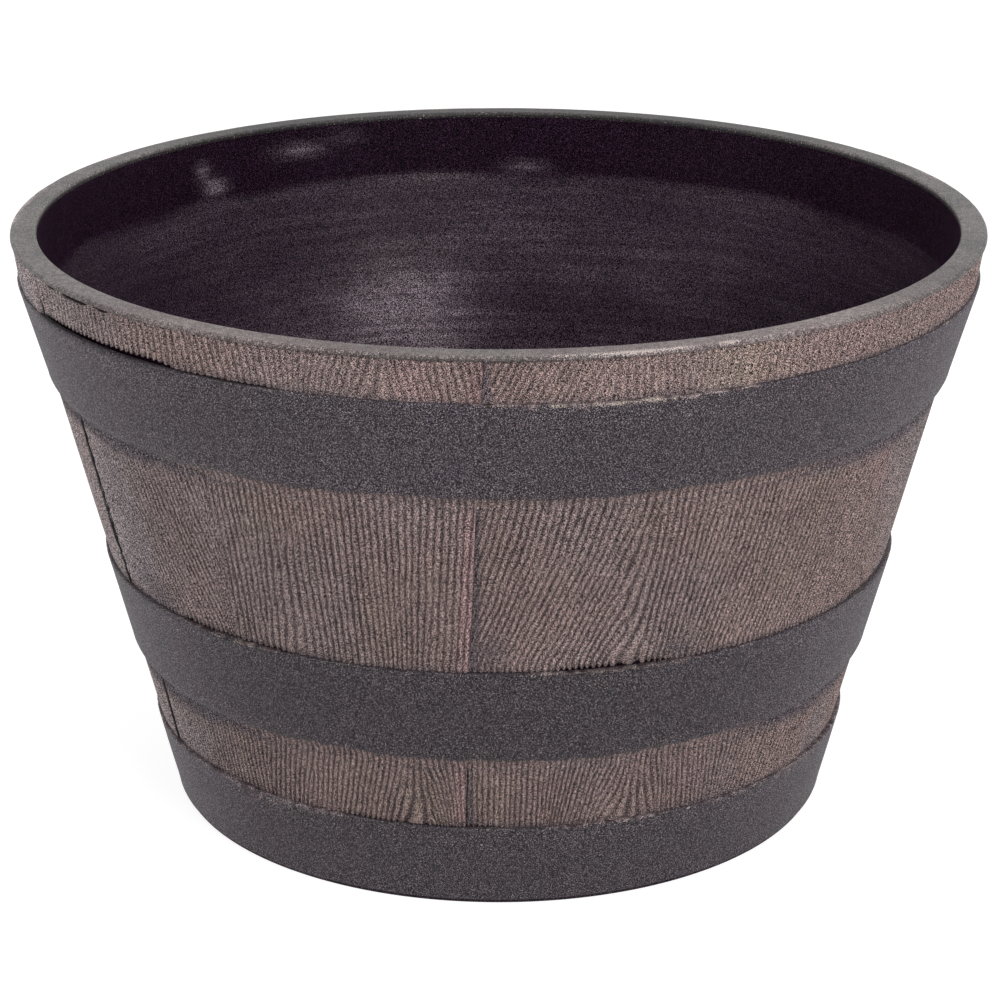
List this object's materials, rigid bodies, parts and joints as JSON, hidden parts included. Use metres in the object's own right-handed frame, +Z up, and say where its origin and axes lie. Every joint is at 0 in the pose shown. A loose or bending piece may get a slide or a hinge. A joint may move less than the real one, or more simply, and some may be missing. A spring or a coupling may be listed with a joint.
{
  "type": "barrel planter",
  "caption": "Half-barrel planter: tapered wood-effect resin tub with a rolled rim, dark hoops round it and pull-out drain plugs in its raised floor.",
  "frame": {"origin": "on the ground under the middle of the tub", "axes": "+Z up through the open mouth, -Y towards the front of the barrel"},
  "size_m": [0.5199, 0.52, 0.32],
  "materials": {
    "wood_effect_resin": "weathered brown with moulded wood grain",
    "inner_resin": "smooth, slightly glossy black",
    "hoop_resin": "matt dark grey, finely mottled",
    "plug_rubber": "matt black"
  },
  "bodies": {
    "tub": {"tub": "wood_effect_resin", "upper_hoop": "hoop_resin", "middle_hoop": "hoop_resin", "base_hoop": "hoop_resin"},
    "plug_1": {"drain_plug_1": "plug_rubber"},
    "plug_2": {"drain_plug_2": "plug_rubber"},
    "plug_3": {"drain_plug_3": "plug_rubber"},
    "plug_4": {"drain_plug_4": "plug_rubber"}
  },
  "joints": [
    {"name": "plug_1_pull", "type": "slide", "parent": "tub", "child": "plug_1", "axis": [0, 0, 1], "range_m": [0, 0.06]},
    {"name": "plug_2_pull", "type": "slide", "parent": "tub", "child": "plug_2", "axis": [0, 0, 1], "range_m": [0, 0.06]},
    {"name": "plug_3_pull", "type": "slide", "parent": "tub", "child": "plug_3", "axis": [0, 0, 1], "range_m": [0, 0.06]},
    {"name": "plug_4_pull", "type": "slide", "parent": "tub", "child": "plug_4", "axis": [0, 0, 1], "range_m": [0, 0.06]}
  ]
}
